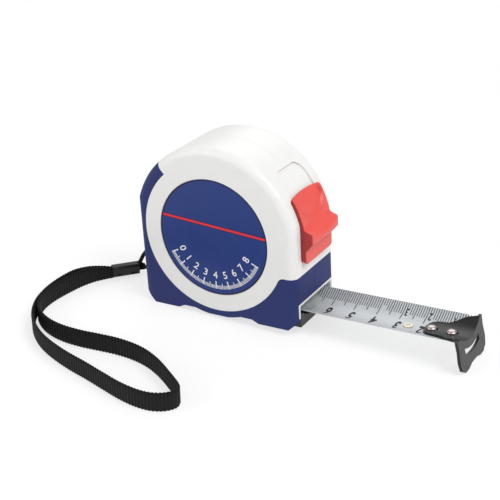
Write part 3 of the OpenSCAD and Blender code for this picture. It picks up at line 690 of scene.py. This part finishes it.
class Decal:
    """Flat ink shapes collected into one mesh. to_surface turns (u, v) in millimetres into a point."""

    def __init__(self, to_surface):
        self.points, self.faces, self.kinds, self.to_surface = [], [], [], to_surface

    def strip(self, corners, kind=0, cuts=6):
        """Four-sided patch, cut across its second direction so that it can follow a curve."""
        a, b, c, d = corners
        start = len(self.points)
        for i in range(cuts + 1):
            t = i / cuts
            for p, q in ((a, d), (b, c)):
                self.points.append(self.to_surface(p[0] + (q[0] - p[0]) * t, p[1] + (q[1] - p[1]) * t))
        for i in range(cuts):
            k = start + 2 * i
            self.faces.append((k, k + 1, k + 3, k + 2))
            self.kinds.append(kind)

    def bar(self, u, v0, v1, width):
        left, right = u - width / 2, u + width / 2
        self.strip([(left, v0), (right, v0), (right, v1), (left, v1)])

    def numeral(self, text, u, v, size, turn=0.0, bold=0.0, kind=0, narrow=1.0):
        """Plain number in the built-in font, centred on (u, v). kind is the ink's material."""
        curve = bpy.data.curves.new("numeral", "FONT")
        curve.body = text
        curve.size = size
        curve.offset = bold
        curve.align_x = "CENTER"
        curve.align_y = "CENTER"
        curve.resolution_u = 6
        holder = bpy.data.objects.new("numeral", curve)
        scene.collection.objects.link(holder)
        bpy.context.view_layer.update()
        mesh = holder.to_mesh()
        start = len(self.points)
        c, s = math.cos(turn), math.sin(turn)
        for vert in mesh.vertices:
            x, y = vert.co.x * narrow, vert.co.y
            self.points.append(self.to_surface(u + c * x - s * y, v + s * x + c * y))
        for face in mesh.polygons:
            self.faces.append(tuple(start + i for i in face.vertices))
            self.kinds.append(kind)
        holder.to_mesh_clear()
        bpy.data.objects.remove(holder)
        bpy.data.curves.remove(curve)

    def build(self, name, materials):
        return new_object(name, mesh_from(name, self.points, self.faces, self.kinds), materials)


INK_LIFT = 0.012


def blade_point(u, v, lift=INK_LIFT):
    """Point on the blade's hollow face, in millimetres: u along the blade, v round its section."""
    r = CURVE_R / MM - lift
    a = v / (CURVE_R / MM)
    return Vector((u, r * math.sin(a), BLADE_Z / MM + CURVE_R / MM - r * math.cos(a))) * MM


# The scale's zero lies at the hook, just past the blade's end, and the numbers count towards the case
ZERO_X = blade_high.x / MM + 1.7
MOUTH_X = 33.7
TICK_EDGE = 12.4


def tick_length(step):
    """The ticks just short of the first tens are cut off to leave room for the small numbers."""
    if step < 40 and step % 10 in (8, 9):
        return 3.3
    return 9.0 if step % 10 == 0 else 7.6 if step % 5 == 0 else 5.6


def tick(ink, step, x):
    ink.bar(x, TICK_EDGE, TICK_EDGE - tick_length(step), 0.3 if step % 5 else 0.34)


def large_number(ink, k, x):
    ink.numeral(str(k), x + 0.9, -1.3, 9.4, math.pi, bold=0.3, narrow=0.52)


def small_number(ink, k, x):
    ink.numeral(str(k), x + 1.45, 8.0, 5.2, math.pi, bold=0.14, narrow=0.6)


# The first tick that is still inside the case at rest
RUN_STEP = 69


def mark_blade():
    """Millimetre ticks and numbers on the first stretch of blade."""
    ink = Decal(blade_point)
    for step in range(3, RUN_STEP):
        if ZERO_X - step < MOUTH_X:
            break
        tick(ink, step, ZERO_X - step)
    for k in range(2, 7):
        large_number(ink, k, ZERO_X - 10 * k)
    for k in (1, 2, 3):
        small_number(ink, k, ZERO_X - 10 * k)
    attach(ink.build("blade_marks", [ink_black]), "blade")


mark_blade()


def run_of_blade():
    """The blade that follows the first stretch out of the case."""
    start, end, travel = MOUTH_X, 36.6, 100.0
    lower, half_arc = 0.03, 12.5

    def rest_place(x):
        """Where a point lies at rest that is at x with the blade fully out, found by halving."""
        low, high = start, end
        for _ in range(50):
            mid = (low + high) / 2
            if mid + travel * ease((mid - start) / (end - start)) < x:
                low = mid
            else:
                high = mid
        return low

    rows, count, cuts = [], 120, 28
    for i in range(count + 1):
        x = rest_place(start + (end + travel - start) * i / count)
        rows.append([blade_point(x, half_arc * (2 * j / cuts - 1), -0.02 - lower) for j in range(cuts + 1)])
    strip = new_object("blade_run", rows_mesh("blade_run", rows), blade_paint, None)
    ink = Decal(lambda u, v: blade_point(rest_place(u), v, -lower))
    for step in range(RUN_STEP, RUN_STEP + round(travel)):
        x = ZERO_X - step + travel
        if x < start + 0.6 or x > end + travel - 0.3:
            continue
        tick(ink, step, x)
        if step % 10 == 0:
            large_number(ink, step // 10, x)
    marks = ink.build("blade_run_marks", [ink_black])
    for obj in (strip, marks):
        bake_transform(obj)


run_of_blade()

# ---- Label art: a plain stripe and a plain scale ----


RIM_IN, RIM_OUT = 24.45, 24.9
STRIPE_R, STRIPE_MID, STRIPE_HALF, STRIPE_EDGE = 24.85, 5.1, 0.5, 0.75
STRIPE_SLOPE = math.atan2(-3.8, 48.9)
DIAL_START, DIAL_SWEEP, DIAL_R, DIAL_NUMBER_R, DIAL_NUMBERS = 205, 130, 22.6, 16.6, 8
RED, DARK, WHITE = range(3)


def rotated(x, y, a):
    return (x * math.cos(a) - y * math.sin(a), x * math.sin(a) + y * math.cos(a))


def label_art(name, face_y, side):
    """Generic print on a label: a dark rim, a red stripe with dark edges and a dial with plain numbers.
    side is -1 for the left label and 1 for the right."""
    lift = 0.02 * side * MM
    art = Decal(lambda u, v: Vector((-side * u * MM, face_y + lift, LABEL_Z + v * MM)))

    def patch(corners, kind, turn=0.0):
        art.strip([rotated(x, y, turn) for x, y in corners], kind, 1)

    def stripe(low, high, kind):
        half_low, half_high = (math.sqrt(STRIPE_R ** 2 - (STRIPE_MID + e) ** 2) for e in (low, high))
        patch([(-half_low, STRIPE_MID + low), (half_low, STRIPE_MID + low),
               (half_high, STRIPE_MID + high), (-half_high, STRIPE_MID + high)], kind, STRIPE_SLOPE)

    def dial_angle(share):
        return math.radians(DIAL_START + DIAL_SWEEP * share)

    for i in range(120):
        a, b = (math.radians(3 * k) for k in (i, i + 1))
        patch([rotated(r, 0, at) for r, at in ((RIM_IN, a), (RIM_OUT, a), (RIM_OUT, b), (RIM_IN, b))], DARK)
    stripe(-STRIPE_EDGE, -STRIPE_HALF, DARK)
    stripe(-STRIPE_HALF, STRIPE_HALF, RED)
    stripe(STRIPE_HALF, STRIPE_EDGE, DARK)
    for i in range(10 * DIAL_NUMBERS + 1):
        inner = DIAL_R - (3.4 if i % 10 == 0 else 2.5 if i % 5 == 0 else 1.6)
        half = 0.16 if i % 10 else 0.26
        patch([(DIAL_R, -half), (DIAL_R, half), (inner, half), (inner, -half)], WHITE,
              dial_angle(i / (10 * DIAL_NUMBERS)))
    for i in range(DIAL_NUMBERS + 1):
        a = dial_angle(i / DIAL_NUMBERS)
        art.numeral(str(i), *rotated(DIAL_NUMBER_R, 0, a), 4.4, a + math.pi / 2, bold=0.05, kind=WHITE)
    obj = art.build(name, [ink_red, ink_dark, ink_white])
    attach(obj, "case")


label_art("print_left", LEFT_FACE_Y, -1)
label_art("print_right", RIGHT_FACE_Y, 1)

# ---- Hook and rivets ----

refined("hook", "end_hook", black_steel, 0.22, segments=3, angle=25)


def build_rivets():
    """Domed rivet heads with a soft rim, and upset tails under the blade."""
    low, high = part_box("hook_rivets")
    half, around = (high.y - low.y) / 2, 40
    # Radius as a share of the head's, with millimetres down from the head and up from the tail
    head = [(0.0, 0), (0.3, 0), (0.55, 0.08), (0.8, 0.26), (0.95, 0.55), (1.0, 0.8), (0.97, 0.95),
            (0.6, 1.0)]
    tail = [(0.58, 0.4), (0.92, 0.34), (0.95, 0.15), (0.85, 0), (0.0, 0)]
    section = [(r, high.z - z * MM) for r, z in head] + [(r, low.z + z * MM) for r, z in tail]
    points, faces = [], []
    for x in (low.x + half, high.x - half):
        start = len(points)
        for r, z in section:
            for k in range(around):
                a = 2 * math.pi * k / around
                points.append(Vector((x + half * r * math.cos(a), half * r * math.sin(a), z)))
        for i in range(len(section) - 1):
            a, b = start + i * around, start + (i + 1) * around
            for k in range(around):
                n = (k + 1) % around
                faces.append((a + k, b + k, b + n, a + n))
    mesh = mesh_from("rivets", points, faces)
    set_sharp(mesh, 60)
    obj = new_object("rivets", mesh, rivet_metal, "blade")
    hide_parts("hook_rivets")


build_rivets()

# ---- Materials of the CAD nodes that stay as they are ----

kept = ((black, ("lock_slider", "spool", "spool_cap")),
        (black_rubber, ("brake_pad",)),
        (pale, ("arbor", "left_liner", "right_liner")),
        (spring_steel, ("mainspring",)),
        (blade_paint, ("blade_coil", "blade_lead", "blade")),
        (brass, ("blade_eyelet",)),
        (bright, ("case_screws", "clip_screw", "lanyard_pin")))
for material, nodes in kept:
    for node in nodes:
        mesh = frame["nodes"][node].data
        mesh.materials.clear()
        mesh.materials.append(material)

# ---- Floor, light and backdrop ----


# What the camera sees of the floor is a mix of lit paper, which holds the shadow, and an even glow
GLOW_SHARE, GLOW_STRENGTH = 0.62, 1.12
PAPER = (0.85, 0.85, 0.85, 1)


def floor_material():
    n = Nodes("floor_paper")
    tree, output = n.tree, n.tree.nodes["Material Output"]
    tree.nodes.remove(n.shader)
    paper = n.add("ShaderNodeBsdfDiffuse")
    paper.inputs["Color"].default_value = PAPER
    glow = n.add("ShaderNodeEmission")
    glow.inputs["Strength"].default_value = GLOW_STRENGTH
    blend = n.add("ShaderNodeMixShader")
    blend.inputs["Fac"].default_value = GLOW_SHARE
    tree.links.new(paper.outputs[0], blend.inputs[1])
    tree.links.new(glow.outputs[0], blend.inputs[2])
    rays = n.add("ShaderNodeLightPath").outputs
    mirrored = n.math("MAXIMUM", rays["Is Glossy Ray"], rays["Is Transmission Ray"])
    seen = n.math("MAXIMUM", rays["Is Camera Ray"], mirrored)
    choose = n.add("ShaderNodeMixShader")
    tree.links.new(seen, choose.inputs["Fac"])
    tree.links.new(paper.outputs[0], choose.inputs[1])
    tree.links.new(blend.outputs[0], choose.inputs[2])
    tree.links.new(choose.outputs[0], output.inputs["Surface"])
    return n.material


FLOOR_HALF, FLOOR_GAP = 4.0, 0.02 * MM
corners = [(x * FLOOR_HALF, y * FLOOR_HALF, 0) for x, y in ((-1, -1), (1, -1), (1, 1), (-1, 1))]
floor_mesh = bpy.data.meshes.new("floor")
floor_mesh.from_pydata(corners, [], [(0, 1, 2, 3)])
floor = new_object("floor", floor_mesh, floor_material())
floor.matrix_world = Matrix.Translation((REAR_FOOT_X, 0, -FLOOR_GAP)) @ Matrix.Rotation(FLOOR_TILT, 4, "Y")

world = bpy.data.worlds.new("studio")
scene.world = world
world.use_nodes = True
sky = world.node_tree.nodes["Background"]
sky.inputs["Color"].default_value = (1, 1, 1, 1)
path_node = world.node_tree.nodes.new("ShaderNodeLightPath")
level_node = world.node_tree.nodes.new("ShaderNodeMapRange")
WORLD_ON_OBJECT, WORLD_SEEN = 0.55, 1.0
level_node.inputs["To Min"].default_value = WORLD_ON_OBJECT
level_node.inputs["To Max"].default_value = WORLD_SEEN
world.node_tree.links.new(path_node.outputs["Is Camera Ray"], level_node.inputs["Value"])
world.node_tree.links.new(level_node.outputs[0], sky.inputs["Strength"])


def lamp(name, position, target, size, power):
    """Round area lamp. Places and size are in metres, and power in watts."""
    light = bpy.data.lights.new(name, "AREA")
    light.shape = "DISK"
    light.size = size
    light.energy = power
    obj = bpy.data.objects.new(name, light)
    scene.collection.objects.link(obj)
    obj.location = position
    obj.rotation_euler = (Vector(target) - Vector(position)).to_track_quat("-Z", "Y").to_euler()


lamp("key", (0.85, -0.15, 1.0), (0.02, 0, 0.03), 0.7, 8.3)
lamp("fill", (-0.8, -0.9, 0.5), (0.0, 0, 0.03), 0.9, 4.4)
lamp("back", (-0.3, 0.9, 0.8), (0.0, 0, 0.03), 0.8, 2.2)

scene.view_settings.view_transform = "Standard"
